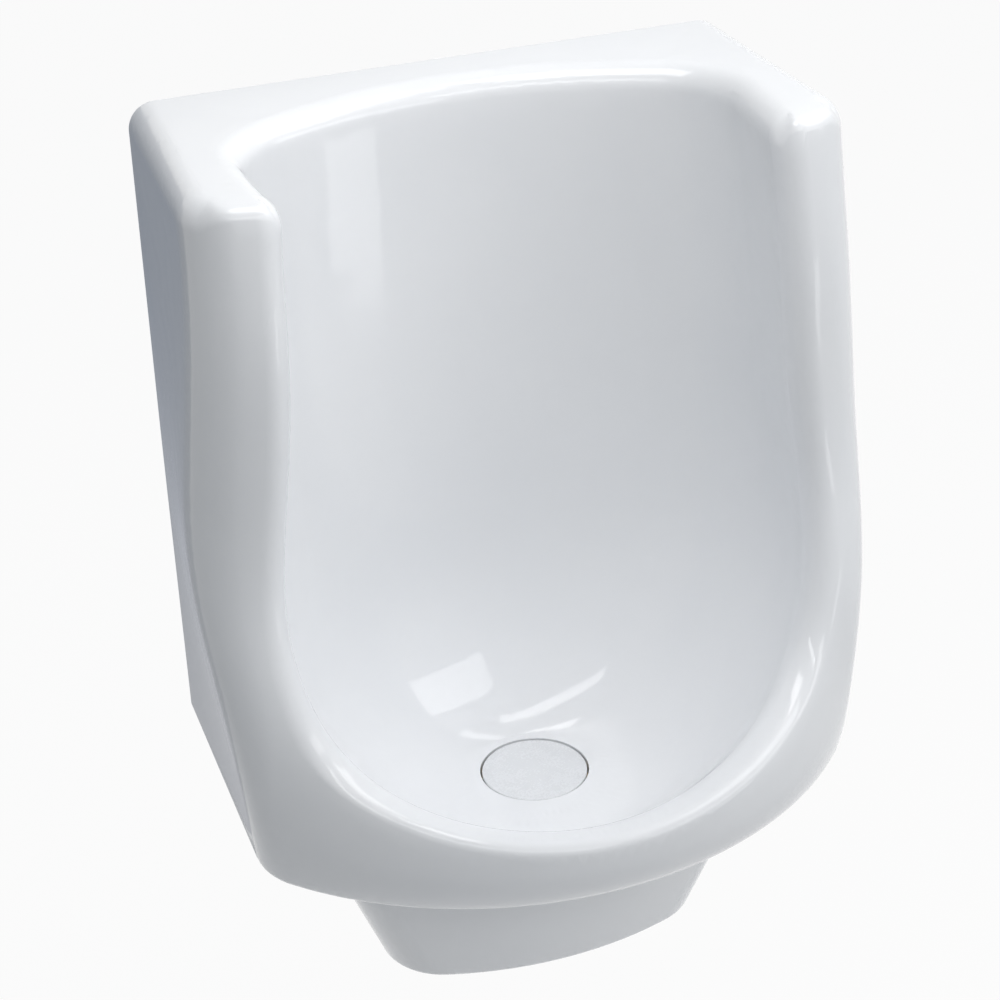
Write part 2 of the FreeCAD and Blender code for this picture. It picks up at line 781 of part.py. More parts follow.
def trap_housing():
    """Chamber with a threaded collar above and a socketed spigot behind."""
    bottom = "-chamber_drop"
    collar = cylinder("housing_collar", "collar_radius", "collar_height")
    move(collar, y="-drain_front", z=f"{COLLAR_TOP} - collar_height")
    chamber = cylinder("housing_chamber", "chamber_radius", f"{COLLAR_TOP} + chamber_drop")
    move(chamber, y="-drain_front", z=bottom)
    spigot = cylinder("housing_spigot", "spigot_radius", "drain_front - spigot_reach")
    spigot.Placement.Rotation = TO_WALL
    move(spigot, y="-drain_front")
    thread = cylinder("housing_thread", "neck_radius + thread_gap", f"{COLLAR_TOP} + chamber_drop")
    move(thread, y="-drain_front", z="housing_wall - chamber_drop + housing_wall")
    well = cylinder("housing_well", "chamber_radius - housing_wall",
                    f"{NECK_BOTTOM} - housing_wall - housing_wall + chamber_drop")
    move(well, y="-drain_front", z="housing_wall - chamber_drop")
    way_out = cylinder("housing_way_out", "pipe_radius - pipe_wall", "drain_front - spigot_reach + overrun")
    way_out.Placement.Rotation = TO_WALL
    move(way_out, y="-drain_front")
    socket = cylinder("housing_socket", "pipe_radius + joint_gap", "socket_depth + overrun")
    socket.Placement.Rotation = TO_WALL
    move(socket, y="-spigot_reach - socket_depth")
    outside = fuse("housing_outside", [collar, chamber, spigot])
    inside = fuse("housing_inside", [thread, well, way_out, socket])
    return cut("trap_housing", outside, inside)


def slip_washer():
    return on_outlet(turn("slip_washer", ring_outline(
        "pipe_radius + joint_gap", "spigot_radius",
        "-spigot_reach", "-spigot_reach + slip_washer_thickness")))


def slip_nut():
    cap_inside = "-spigot_reach + slip_washer_thickness"
    cap_outside = f"{cap_inside} + nut_cap"
    thread = "spigot_radius + nut_thread_gap"
    body = on_outlet(turn("slip_nut", [
        (thread, f"{cap_outside} - nut_length"),
        ("nut_radius", f"{cap_outside} - nut_length"),
        ("nut_radius", cap_outside),
        ("pipe_radius + 2 * joint_gap", cap_outside),
        ("pipe_radius + 2 * joint_gap", cap_inside),
        (thread, cap_inside),
    ]))
    sketch = new_sketch(body, "rib", "XY_Plane")
    bind(sketch, "AttachmentOffset.Base.z", f"{cap_outside} - nut_length")
    inner = "nut_radius - nut_rib_height"
    outer = "nut_radius + nut_rib_height"
    draw_polygon(sketch, [
        (inner, "-nut_rib_width / 2"),
        (outer, "-nut_rib_width / 4"),
        (outer, "nut_rib_width / 4"),
        (inner, "nut_rib_width / 2"),
    ])
    rib = body.newObject("PartDesign::Pad", "slip_nut_ribs")
    rib.Profile = sketch
    bind(rib, "Length", "nut_length - nut_cap / 2")
    doc.recompute()
    pattern_round(body, rib, "nut_rib_count")
    return body


def outlet_pipe():
    """Slip-jointed pipe with a wider tail that goes into the wall's drain."""
    pipe_start = "-spigot_reach - socket_depth + pipe_stop"
    return on_outlet(turn("outlet_pipe", [
        ("pipe_radius - pipe_wall", pipe_start),
        ("pipe_radius", pipe_start),
        ("pipe_radius", "0"),
        ("tail_radius", "0"),
        ("tail_radius", "pipe_reach"),
        ("pipe_radius - pipe_wall", "pipe_reach"),
    ]))


def trim_flange(body):
    """Two screw holes beside the outlet, and flats that keep a round plate inside the skirt."""
    holes = new_sketch(body, "holes", "XY_Plane")
    flats = new_sketch(body, "flats", "XY_Plane")
    for side in ("", "-"):
        draw_circle(holes, f"{side}screw_circle", "0", "screw_radius + screw_hole_gap")
        near, far = f"{side}wall_flange_height / 2", f"{side}wall_flange_radius * 2"
        draw_polygon(flats, [
            ("-wall_flange_radius", near), ("wall_flange_radius", near),
            ("wall_flange_radius", far), ("-wall_flange_radius", far)])
    pocket_through(body, holes, f"{body.Label}_screw_holes")
    pocket_through(body, flats, f"{body.Label}_trimmed")


def wall_gasket():
    body = on_outlet(turn("wall_gasket", ring_outline(
        "pipe_radius + joint_gap", "wall_flange_radius", "-wall_gasket_thickness", "0")))
    trim_flange(body)
    return body


FLANGE_BACK = "-wall_gasket_thickness"
FLANGE_FRONT = f"{FLANGE_BACK} - wall_flange_thickness"


def wall_flange():
    body = on_outlet(turn("wall_flange", [
        ("pipe_radius + joint_gap", FLANGE_BACK),
        ("wall_flange_radius", FLANGE_BACK),
        ("wall_flange_radius", FLANGE_FRONT),
        ("wall_hub_radius", FLANGE_FRONT),
        ("wall_hub_radius", f"{FLANGE_FRONT} - wall_hub_length"),
        ("pipe_radius + joint_gap", f"{FLANGE_FRONT} - wall_hub_length"),
    ]))
    trim_flange(body)
    return body


def flange_washers():
    washers = []
    for side, name in ((-1, "left"), (1, "right")):
        disc = cylinder(f"{name}_washer_disc", "washer_radius", "washer_thickness")
        bore = cylinder(f"{name}_washer_bore", "screw_radius + screw_hole_gap",
                        "washer_thickness + 2 * overrun")
        for thing, start in ((disc, "0"), (bore, "overrun")):
            thing.Placement.Rotation = TO_WALL
            move(thing, x=f"{side} * screw_circle", y=f"{FLANGE_FRONT} - washer_thickness - {start}")
        washers.append(cut(f"{name}_washer", disc, bore))
    return group("flange_washers", washers)


def flange_screws():
    screws = []
    seat = f"{FLANGE_FRONT} - washer_thickness"
    for side, name in ((-1, "left"), (1, "right")):
        head = doc.addObject("Part::Prism", f"{name}_screw_head")
        head.Polygon = 6
        bind(head, "Circumradius", "screw_head_radius")
        bind(head, "Height", "screw_head_height")
        shank = cylinder(f"{name}_screw_shank", "screw_radius", f"screw_reach - ({seat})")
        for thing, start in ((head, f"{seat} - screw_head_height"), (shank, seat)):
            thing.Placement.Rotation = TO_WALL
            move(thing, x=f"{side} * screw_circle", y=start)
        screws.append(fuse(f"{name}_screw", [head, shank]))
    return group("flange_screws", screws)


def hanger(label, side):
    """Folded steel bracket whose shelf and lip carry the top edge of a hanger slot."""
    body = new_body(label)
    sketch = new_sketch(body, "profile", "YZ_Plane")
    lip_back = "-back_plate - hanger_clearance"
    lip_front = f"{lip_back} - hanger_sheet"
    draw_polygon(sketch, [
        ("0", f"{SLOT_TOP} - hanger_drop"),
        ("0", SLOT_TOP),
        (lip_back, SLOT_TOP),
        (lip_back, f"{SLOT_TOP} + hanger_lip"),
        (lip_front, f"{SLOT_TOP} + hanger_lip"),
        (lip_front, f"{SLOT_TOP} - hanger_sheet"),
        ("-hanger_sheet", f"{SLOT_TOP} - hanger_sheet"),
        ("-hanger_sheet", f"{SLOT_TOP} - hanger_drop"),
    ])
    sheet_metal = body.newObject("PartDesign::Pad", f"{label}_sheet")
    sheet_metal.Profile = sketch
    sheet_metal.Midplane = True
    bind(sheet_metal, "Length", "hanger_width")
    doc.recompute()
    hole_sketch = new_sketch(body, "holes", "XZ_Plane")
    for place in ("-hanger_hole_spacing / 2", "hanger_hole_spacing / 2"):
        draw_circle(hole_sketch, place, f"{SLOT_TOP} - (hanger_drop + hanger_sheet) / 2", "hanger_hole / 2")
    holes = body.newObject("PartDesign::Pocket", f"{label}_holes")
    holes.Profile = hole_sketch
    holes.Type = "Length"
    holes.Midplane = True
    bind(holes, "Length", "4 * hanger_sheet")
    doc.recompute()
    move(body, x=f"{side} * slot_spacing / 2")
    return body


def build():
    fill_sheet()
    return [
        china_body(),
        flange_gasket(),
        drain_flange(),
        housing_gasket(),
        trap_housing(),
        trap_lid(),
        trap_bell(),
        trap_cup(),
        o_ring("upper_o_ring", "upper_ring_drop"),
        o_ring("lower_o_ring", "lower_ring_drop"),
        drain_cover(),
        slip_washer(),
        slip_nut(),
        outlet_pipe(),
        wall_gasket(),
        wall_flange(),
        flange_washers(),
        flange_screws(),
        hanger("left_hanger", -1),
        hanger("right_hanger", 1),
    ]


def check(pieces):
    """Stop before anything is written if an object failed or a shape is not sound."""
    for thing in doc.Objects:
        if "Invalid" in thing.State or "Error" in thing.State:
            raise RuntimeError(f"{thing.Name} failed: {thing.State}")
    for piece in pieces:
        if piece.Shape.isNull() or not piece.Shape.isValid() or not piece.Shape.Solids:
            raise RuntimeError(f"{piece.Label} has no sound solid")


pieces = build()
doc.recompute()
check(pieces)
os.makedirs("parts", exist_ok=True)
for piece in pieces:
    piece.Shape.exportStep(os.path.join("parts", f"{piece.Label}.step"))
    print(piece.Label, len(piece.Shape.Solids), round(piece.Shape.Volume))
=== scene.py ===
"""Waterless urinal: glazed china body, lift-out trap insert and the drain fittings behind it."""

import math

import bmesh
import bpy
from mathutils import Matrix, Vector


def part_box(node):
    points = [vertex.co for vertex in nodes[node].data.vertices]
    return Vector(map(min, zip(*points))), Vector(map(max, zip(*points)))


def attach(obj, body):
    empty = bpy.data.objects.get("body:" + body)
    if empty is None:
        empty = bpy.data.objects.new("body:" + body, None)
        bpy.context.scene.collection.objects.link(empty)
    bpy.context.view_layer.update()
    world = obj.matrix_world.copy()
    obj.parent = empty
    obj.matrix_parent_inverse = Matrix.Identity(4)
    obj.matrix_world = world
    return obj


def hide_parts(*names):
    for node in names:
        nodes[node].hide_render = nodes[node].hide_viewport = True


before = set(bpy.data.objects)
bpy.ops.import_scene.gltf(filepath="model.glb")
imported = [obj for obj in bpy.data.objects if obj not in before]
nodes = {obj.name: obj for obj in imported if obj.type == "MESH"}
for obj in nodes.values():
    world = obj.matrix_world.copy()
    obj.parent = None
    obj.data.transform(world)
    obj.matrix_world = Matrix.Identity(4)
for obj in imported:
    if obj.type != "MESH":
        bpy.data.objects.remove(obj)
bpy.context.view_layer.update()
scene = bpy.context.scene
scene.view_settings.view_transform = "Standard"


# Shader node groups shared by the finishes.

def new_group(name, inputs, outputs):
    """An empty shader group with named sockets: inputs are (name, kind, default)."""
    tree = bpy.data.node_groups.new(name, "ShaderNodeTree")
    for label, kind, default in inputs:
        socket = tree.interface.new_socket(label, in_out="INPUT", socket_type=f"NodeSocket{kind}")
        if default is not None:
            socket.default_value = default
    for label in outputs:
        tree.interface.new_socket(label, in_out="OUTPUT", socket_type="NodeSocketFloat")
    return tree, tree.nodes.new("NodeGroupInput"), tree.nodes.new("NodeGroupOutput")


def noise(tree, vector, scale, detail):
    node = tree.nodes.new("ShaderNodeTexNoise")
    node.inputs["Detail"].default_value = detail
    tree.links.new(vector, node.inputs["Vector"])
    if isinstance(scale, (int, float)):
        node.inputs["Scale"].default_value = scale
    else:
        tree.links.new(scale, node.inputs["Scale"])
    return node.outputs["Fac"]


def math_node(tree, operation, first, second):
    node = tree.nodes.new("ShaderNodeMath")
    node.operation = operation
    for socket, value in zip(node.inputs, (first, second)):
        if isinstance(value, (int, float)):
            socket.default_value = value
        else:
            tree.links.new(value, socket)
    return node.outputs["Value"]


def map_range(tree, value, low, high, to_low, to_high):
    node = tree.nodes.new("ShaderNodeMapRange")
    node.interpolation_type = "SMOOTHSTEP"
    tree.links.new(value, node.inputs["Value"])
    for label, number in (
        ("From Min", low), ("From Max", high), ("To Min", to_low), ("To Max", to_high),
    ):
        node.inputs[label].default_value = number
    return node.outputs["Result"]


def make_mottle():
    """Slow cloudy change of tone, as in glaze, plastic and plating."""
    tree, source, result = new_group(
        "mottle",
        [("Vector", "Vector", None), ("Cloud Scale", "Float", 6.0), ("Speck Scale", "Float", 90.0),
         ("Speck Share", "Float", 0.3)],
        ["Tone"],
    )
    cloud = noise(tree, source.outputs["Vector"], source.outputs["Cloud Scale"], 2.0)
    speck = noise(tree, source.outputs["Vector"], source.outputs["Speck Scale"], 3.0)
    share = source.outputs["Speck Share"]
    rest = math_node(tree, "SUBTRACT", 1.0, share)
    clouds = math_node(tree, "MULTIPLY", cloud, rest)
    specks = math_node(tree, "MULTIPLY", speck, share)
    total = math_node(tree, "ADD", clouds, specks)
    tree.links.new(map_range(tree, total, 0.32, 0.68, 0.0, 1.0), result.inputs["Tone"])
    return tree


def make_grain():
    """Height of a moulded or cast skin: a fine grain over a slower ripple."""
    tree, source, result = new_group(
        "grain",
        [("Vector", "Vector", None), ("Ripple Scale", "Float", 20.0), ("Grain Scale", "Float", 900.0),
         ("Grain Share", "Float", 0.5)],
        ["Height"],
    )
    ripple = noise(tree, source.outputs["Vector"], source.outputs["Ripple Scale"], 1.0)
    grain = noise(tree, source.outputs["Vector"], source.outputs["Grain Scale"], 2.0)
    share = source.outputs["Grain Share"]
    rest = math_node(tree, "SUBTRACT", 1.0, share)
    ripples = math_node(tree, "MULTIPLY", ripple, rest)
    grains = math_node(tree, "MULTIPLY", grain, share)
    tree.links.new(math_node(tree, "ADD", ripples, grains), result.inputs["Height"])
    return tree


def make_turned_lines():
    """Fine rings about the vector's Z axis, left by a lathe tool."""
    tree, source, result = new_group(
        "turned_lines",
        [("Vector", "Vector", None), ("Line Scale", "Float", 400.0), ("Waver", "Float", 1.5)],
        ["Height"],
    )
    wave = tree.nodes.new("ShaderNodeTexWave")
    wave.wave_type = "RINGS"
    wave.rings_direction = "Z"
    wave.inputs["Detail"].default_value = 2.0
    wave.inputs["Detail Scale"].default_value = 0.6
    tree.links.new(source.outputs["Vector"], wave.inputs["Vector"])
    tree.links.new(source.outputs["Line Scale"], wave.inputs["Scale"])
    tree.links.new(source.outputs["Waver"], wave.inputs["Distortion"])
    tree.links.new(wave.outputs["Fac"], result.inputs["Height"])
    return tree


MOTTLE = make_mottle()
GRAIN = make_grain()
TURNED_LINES = make_turned_lines()


# Finishes.

def use_group(tree, group, vector, values):
    node = tree.nodes.new("ShaderNodeGroup")
    node.node_tree = group
    tree.links.new(vector, node.inputs["Vector"])
    for label, value in values.items():
        node.inputs[label].default_value = value
    return node.outputs[0]


def mottle(tree, place, cloud, speck, share):
    return use_group(
        tree, MOTTLE, place, {"Cloud Scale": cloud, "Speck Scale": speck, "Speck Share": share}
    )


def grain(tree, place, ripple, fine, share):
    return use_group(
        tree, GRAIN, place, {"Ripple Scale": ripple, "Grain Scale": fine, "Grain Share": share}
    )


def mix_colour(tree, factor, first, second):
    node = tree.nodes.new("ShaderNodeMix")
    node.data_type = "RGBA"
    tree.links.new(factor, node.inputs[0])
    for socket, colour in ((node.inputs[6], first), (node.inputs[7], second)):
        if isinstance(colour, tuple):
            socket.default_value = (*colour, 1.0)
        else:
            tree.links.new(colour, socket)
    return node.outputs[2]


def bump(tree, height, strength, distance):
    node = tree.nodes.new("ShaderNodeBump")
    node.inputs["Strength"].default_value = strength
    node.inputs["Distance"].default_value = distance
    tree.links.new(height, node.inputs["Height"])
    return node.outputs["Normal"]


def new_finish(name):
    """A material with its Principled shader and its Object coordinates."""
    material = bpy.data.materials.new(name)
    material.use_nodes = True
    tree = material.node_tree
    shader = tree.nodes["Principled BSDF"]
    place = tree.nodes.new("ShaderNodeTexCoord").outputs["Object"]
    return material, tree, shader, place


def dress(tree, shader, colour, roughness, normal):
    tree.links.new(colour, shader.inputs["Base Color"])
    tree.links.new(roughness, shader.inputs["Roughness"])
    tree.links.new(normal, shader.inputs["Normal"])


def make_china():
    """White glaze over the fired body; the faces turned to the wall stay unglazed."""
    material, tree, shader, place = new_finish("glazed_china")
    tone = mottle(tree, place, cloud=5.0, speck=60.0, share=0.15)
    ripple = grain(tree, place, ripple=14.0, fine=160.0, share=0.06)
    bisque = grain(tree, place, ripple=120.0, fine=1400.0, share=0.7)
    raw = tree.nodes.new("ShaderNodeAttribute")
    raw.attribute_name = "unglazed"
    bare = raw.outputs["Fac"]
    glaze = mix_colour(tree, tone, (0.86, 0.872, 0.893), (0.885, 0.895, 0.912))
    fired = mix_colour(tree, bisque, (0.66, 0.63, 0.58), (0.76, 0.735, 0.69))
    colour = mix_colour(tree, bare, glaze, fired)
    gloss = map_range(tree, tone, 0.0, 1.0, 0.045, 0.075)
    dull = math_node(tree, "MULTIPLY", bare, 0.6)
    roughness = math_node(tree, "ADD", gloss, dull)
    skin = tree.nodes.new("ShaderNodeMix")
    tree.links.new(bare, skin.inputs[0])
    tree.links.new(ripple, skin.inputs[2])
    tree.links.new(bisque, skin.inputs[3])
    dress(tree, shader, colour, roughness, bump(tree, skin.outputs[0], 0.12, 0.0008))
    return material


def make_moulded(name, dark, light, rough, grain_scale, strength):
    """Injection moulded plastic: a fine even grain and a slightly cloudy tone."""
    material, tree, shader, place = new_finish(name)
    tone = mottle(tree, place, cloud=22.0, speck=340.0, share=0.35)
    skin = grain(tree, place, ripple=70.0, fine=grain_scale, share=0.6)
    colour = mix_colour(tree, tone, dark, light)
    roughness = map_range(tree, skin, 0.35, 0.65, rough - 0.06, rough + 0.06)
    dress(tree, shader, colour, roughness, bump(tree, skin, strength, 0.0003))
    return material


def make_rubber():
    """Black gasket rubber with a powdery bloom."""
    material, tree, shader, place = new_finish("gasket_rubber")
    bloom = mottle(tree, place, cloud=45.0, speck=600.0, share=0.55)
    skin = grain(tree, place, ripple=160.0, fine=1500.0, share=0.7)
    colour = mix_colour(tree, bloom, (0.018, 0.018, 0.019), (0.055, 0.055, 0.058))
    dress(
        tree, shader, colour, map_range(tree, bloom, 0.0, 1.0, 0.55, 0.8),
        bump(tree, skin, 0.3, 0.0003),
    )
    return material


def make_brass(centre):
    """Machined brass with tool rings about the drain's axis."""
    material, tree, shader, place = new_finish("machined_brass")
    shader.inputs["Metallic"].default_value = 1.0
    shift = tree.nodes.new("ShaderNodeMapping")
    shift.inputs["Location"].default_value = -centre
    tree.links.new(place, shift.inputs["Vector"])
    lines = use_group(tree, TURNED_LINES, shift.outputs["Vector"], {"Line Scale": 420.0, "Waver": 1.2})
    tarnish = mottle(tree, place, cloud=30.0, speck=420.0, share=0.4)
    colour = mix_colour(tree, tarnish, (0.52, 0.36, 0.14), (0.72, 0.52, 0.24))
    roughness = map_range(tree, tarnish, 0.0, 1.0, 0.36, 0.2)
    dress(tree, shader, colour, roughness, bump(tree, lines, 0.2, 0.0002))
    return material


def make_painted_iron():
    """Sand-cast iron under grey paint, with rust showing through in specks."""
    material, tree, shader, place = new_finish("painted_iron")
    skin = grain(tree, place, ripple=180.0, fine=900.0, share=0.45)
    tone = mottle(tree, place, cloud=25.0, speck=260.0, share=0.6)
    paint = mix_colour(tree, tone, (0.085, 0.09, 0.095), (0.13, 0.135, 0.14))
    chips = map_range(tree, tone, 0.93, 1.0, 0.0, 0.8)
    colour = mix_colour(tree, chips, paint, (0.16, 0.06, 0.025))
    dress(
        tree, shader, colour, map_range(tree, tone, 0.0, 1.0, 0.42, 0.62),
        bump(tree, skin, 0.5, 0.0006),
    )
    return material


def make_zinc():
    """Zinc-plated steel: cloudy grey plating with a faint yellow pass coat."""
    material, tree, shader, place = new_finish("zinc_plated_steel")
    shader.inputs["Metallic"].default_value = 1.0
    tone = mottle(tree, place, cloud=60.0, speck=520.0, share=0.4)
    skin = grain(tree, place, ripple=150.0, fine=1100.0, share=0.5)
    colour = mix_colour(tree, tone, (0.50, 0.52, 0.56), (0.66, 0.65, 0.60))
    dress(
        tree, shader, colour, map_range(tree, tone, 0.0, 1.0, 0.38, 0.24),
        bump(tree, skin, 0.12, 0.0002),
    )
    return material


drain_low, drain_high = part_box("drain_flange")
CHINA = make_china()
COVER_PLASTIC = make_moulded(
    "satin_cover_plastic", (0.782, 0.796, 0.815), (0.796, 0.809, 0.826),
    rough=0.26, grain_scale=700.0, strength=0.04,
)
INSERT_PLASTIC = make_moulded(
    "moulded_insert_plastic", (0.60, 0.62, 0.64), (0.68, 0.70, 0.71),
    rough=0.42, grain_scale=900.0, strength=0.15,
)
HOUSING_PLASTIC = make_moulded(
    "dark_housing_plastic", (0.028, 0.030, 0.033), (0.050, 0.053, 0.057),
    rough=0.45, grain_scale=800.0, strength=0.25,
)
PIPE_PLASTIC = make_moulded(
    "white_pipe_plastic", (0.66, 0.66, 0.63), (0.74, 0.74, 0.71),
    rough=0.35, grain_scale=600.0, strength=0.1,
)
NUT_PLASTIC = make_moulded(
    "black_nut_plastic", (0.012, 0.012, 0.013), (0.028, 0.028, 0.030),
    rough=0.4, grain_scale=900.0, strength=0.25,
)
RUBBER = make_rubber()
BRASS = make_brass((drain_low + drain_high) / 2)
PAINTED_IRON = make_painted_iron()
ZINC = make_zinc()

FINISHES = {
    "china_body": CHINA,
    "drain_cover": COVER_PLASTIC,
    "trap_lid": INSERT_PLASTIC,
    "trap_bell": INSERT_PLASTIC,
    "trap_cup": INSERT_PLASTIC,
    "upper_o_ring": RUBBER,
    "lower_o_ring": RUBBER,
    "flange_gasket": RUBBER,
    "housing_gasket": RUBBER,
    "slip_washer": RUBBER,
    "wall_gasket": RUBBER,
    "drain_flange": BRASS,
    "trap_housing": HOUSING_PLASTIC,
    "outlet_pipe": PIPE_PLASTIC,
    "slip_nut": NUT_PLASTIC,
    "wall_flange": PAINTED_IRON,
    "flange_screws": ZINC,
    "flange_washers": ZINC,
    "left_hanger": ZINC,
    "right_hanger": ZINC,
}
for name, finish in FINISHES.items():
    mesh = nodes[name].data
    mesh.materials.clear()
    mesh.materials.append(finish)


# The china casting.

SHARP_EDGE = math.radians(35)
MERGE_GAP = 1e-5
SLIVER = 2e-5
UP = Vector((0.0, 0.0, 1.0))

# The wings: edges longer than LONG_EDGE are split before the shape is changed.
LONG_EDGE = 0.012
SPLIT_ROUNDS = 3
WING_INSIDE = 0.15
WING_NEAR, WING_FULL = 0.07, 0.19
WING_LEAN = 0.013
LEAN_START = 0.47
WING_CROWN = 0.009
CROWN_INNER, CROWN_OUTER = 0.18, 0.236
CROWN_LOW, CROWN_HIGH = 0.22, 0.40

# The deck's roll over the front of the wings.
DECK_ROLL, FRONT_ROLL = 0.020, 0.010
ROLL_SLACK = 1e-4
FRONT_EDGE = 0.19
FACING_SIDE, FACING_FRONT = 0.6, 0.97
TILT_LOW, TILT_HIGH = 0.08, 0.4

# The front lip, above an apron that is part of a circle seen from above.
APRON_CENTRE = Vector((0.0, -0.0564, 0.0))
APRON_RADIUS = 0.3026
RIM_ROLL, LIP_ROLL = 0.018, 0.010
LIP_LOW, LIP_FADE, LIP_HIGH = 0.12, 0.165, 0.225
LIP_NEAR, LIP_DEEP = 0.022, 0.034
APRON_TILT, ROLL_TILT = 0.05, 0.3
BOWL_SIDE, APRON_SIDE = -0.2, 0.15
BOWL_RISE = 1.2


def smooth_step(value, low, high):
    share = min(max((value - low) / (high - low), 0.0), 1.0)
    return share * share * (3.0 - 2.0 * share)


def tighten_roll(skin, less, corner_of):
    """Make a rolled edge's radius smaller by less: its points go towards the corner it rounds off.

    corner_of gives a point's way to that corner, per unit of radius, and its share of the move.
    """
    skin.normal_update()
    moves = []
    for vertex in skin.verts:
        corner, share = corner_of(vertex)
        moves.append((vertex, (corner - vertex.normal) * less * share))
    for vertex, move in moves:
        vertex.co += move


def wing_front_corner(vertex):
    """Where the deck meets the front of a wing."""
    level = Vector((vertex.normal.x, vertex.normal.y, 0.0))
    below = vertex.co.z < body_high.z - DECK_ROLL - ROLL_SLACK
    if below or vertex.co.y > -FRONT_EDGE or level.length < TILT_LOW:
        return UP, 0.0
    outward = level.normalized()
    share = smooth_step(-outward.y, FACING_SIDE, FACING_FRONT)
    return UP + outward, share * smooth_step(level.length, TILT_LOW, TILT_HIGH)


def lip_corner(vertex):
    """Where the apron meets the bowl, with the bowl falling away from the lip."""
    normal, height = vertex.normal, vertex.co.z
    level = vertex.co - APRON_CENTRE
    level.z = 0.0
    depth = APRON_RADIUS - level.length
    off_lip = height < LIP_LOW or height > LIP_HIGH or depth > LIP_DEEP
    if off_lip or level.y > 0.0 or normal.z < 0.0:
        return UP, 0.0
    outward = level.normalized()
    share = smooth_step(normal.z, APRON_TILT, ROLL_TILT)
    share *= smooth_step(normal.dot(outward), BOWL_SIDE, APRON_SIDE)
    share *= 1.0 - smooth_step(height, LIP_FADE, LIP_HIGH)
    share *= 1.0 - smooth_step(depth, LIP_NEAR, LIP_DEEP)
    return UP * BOWL_RISE + outward, share


def split_wings(skin):
    """Split the wings' long edges, so that they can bend."""
    for _ in range(SPLIT_ROUNDS):
        long_edges = [
            edge for edge in skin.edges
            if edge.calc_length() > LONG_EDGE
            and max(vertex.co.z for vertex in edge.verts) > CROWN_LOW
            and min(vertex.co.y for vertex in edge.verts) < -WING_NEAR
            and min(abs(vertex.co.x) for vertex in edge.verts) > WING_INSIDE
        ]
        bmesh.ops.subdivide_edges(skin, edges=long_edges, cuts=1)
        bmesh.ops.dissolve_degenerate(skin, edges=skin.edges, dist=SLIVER)
        bmesh.ops.triangulate(skin, faces=[face for face in skin.faces if len(face.verts) > 3])


def lean_wings(skin):
    """Lean the tops of the wings back a little, and draw their outer corners into a fuller round."""
    for vertex in skin.verts:
        x, y, z = vertex.co
        up = max((z - LEAN_START) / (body_high.z - LEAN_START), 0.0)
        out = max((abs(x) - CROWN_INNER) / (CROWN_OUTER - CROWN_INNER), 0.0)
        lean = WING_LEAN * up ** 2
        crown = WING_CROWN * out ** 2 * smooth_step(z, CROWN_LOW, CROWN_HIGH)
        vertex.co.y += (lean + crown) * smooth_step(-y, WING_NEAR, WING_FULL)


def glazed_casting(glazed_spots):
    """The casting as one smooth skin, glazed from each spot as far as the next sharp edge."""
    mesh = nodes["china_body"].data.copy()
    mesh.name = "glazed_body"
    skin = bmesh.new()
    skin.from_mesh(mesh)
    bare = skin.faces.layers.float.new("unglazed")
    bmesh.ops.remove_doubles(skin, verts=skin.verts, dist=MERGE_GAP)
    bmesh.ops.dissolve_degenerate(skin, edges=skin.edges, dist=SLIVER)
    split_wings(skin)
    tighten_roll(skin, DECK_ROLL - FRONT_ROLL, wing_front_corner)
    lean_wings(skin)
    tighten_roll(skin, RIM_ROLL - LIP_ROLL, lip_corner)
    skin.faces.ensure_lookup_table()
    for edge in skin.edges:
        edge.smooth = not (len(edge.link_faces) == 2 and edge.calc_face_angle(0.0) > SHARP_EDGE)
    waiting = [
        min(skin.faces, key=lambda face: (face.calc_center_median() - spot).length)
        for spot in glazed_spots
    ]
    glazed = set(waiting)
    while waiting:
        for edge in waiting.pop().edges:
            if edge.smooth:
                fresh = [face for face in edge.link_faces if face not in glazed]
                glazed.update(fresh)
                waiting.extend(fresh)
    for face in skin.faces:
        face.smooth = True
        face[bare] = 0.0 if face in glazed else 1.0
    skin.to_mesh(mesh)
    skin.free()
    piece = bpy.data.objects.new("glazed_body", mesh)
    scene.collection.objects.link(piece)
    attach(piece, "urinal")
    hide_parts("china_body")


DECK_BACK = -0.05
SKIRT_FRONT = -0.27
_, body_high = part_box("china_body")
cover_low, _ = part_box("drain_cover")
glazed_casting([
    Vector((0.0, DECK_BACK, body_high.z)),
    Vector((0.0, SKIRT_FRONT, 0.0)),
    Vector((0.0, cover_low.y, cover_low.z)),
])


# Hex-head screws that hold the wall flange.

HEAD_RADIUS = 0.0065
HEAD_HEIGHT = 0.005
HEAD_CHAMFER = 0.0007
SHANK_RADIUS = 0.003
THREAD_DEPTH = 0.00045
THREAD_PITCH = 0.0016
TIP_LENGTH = 0.005
HEAD_SIDES, SHANK_SIDES, RIDGE_SIDES = 6, 20, 4
HEAD_TOP_SHARE, TIP_SHARE = 0.86, 0.3


def geometry_node(tree, kind, inputs, **settings):
    """A node with its settings made and its inputs given numbers or links."""
    node = tree.nodes.new(kind)
    for name, value in settings.items():
        setattr(node, name, value)
    for label, value in inputs.items():
        if isinstance(value, bpy.types.NodeSocket):
            tree.links.new(value, node.inputs[label])
        else:
            node.inputs[label].default_value = value
    return node


def tapered(tree, bar, length, share):
    """Draw out the top face of a closed bar and make it smaller."""
    drawn = geometry_node(
        tree, "GeometryNodeExtrudeMesh",
        {"Mesh": bar.outputs["Mesh"], "Selection": bar.outputs["Top"], "Offset Scale": length},
    )
    return geometry_node(
        tree, "GeometryNodeScaleElements",
        {"Geometry": drawn.outputs["Mesh"], "Selection": drawn.outputs["Top"], "Scale": share},
    ).outputs["Geometry"]


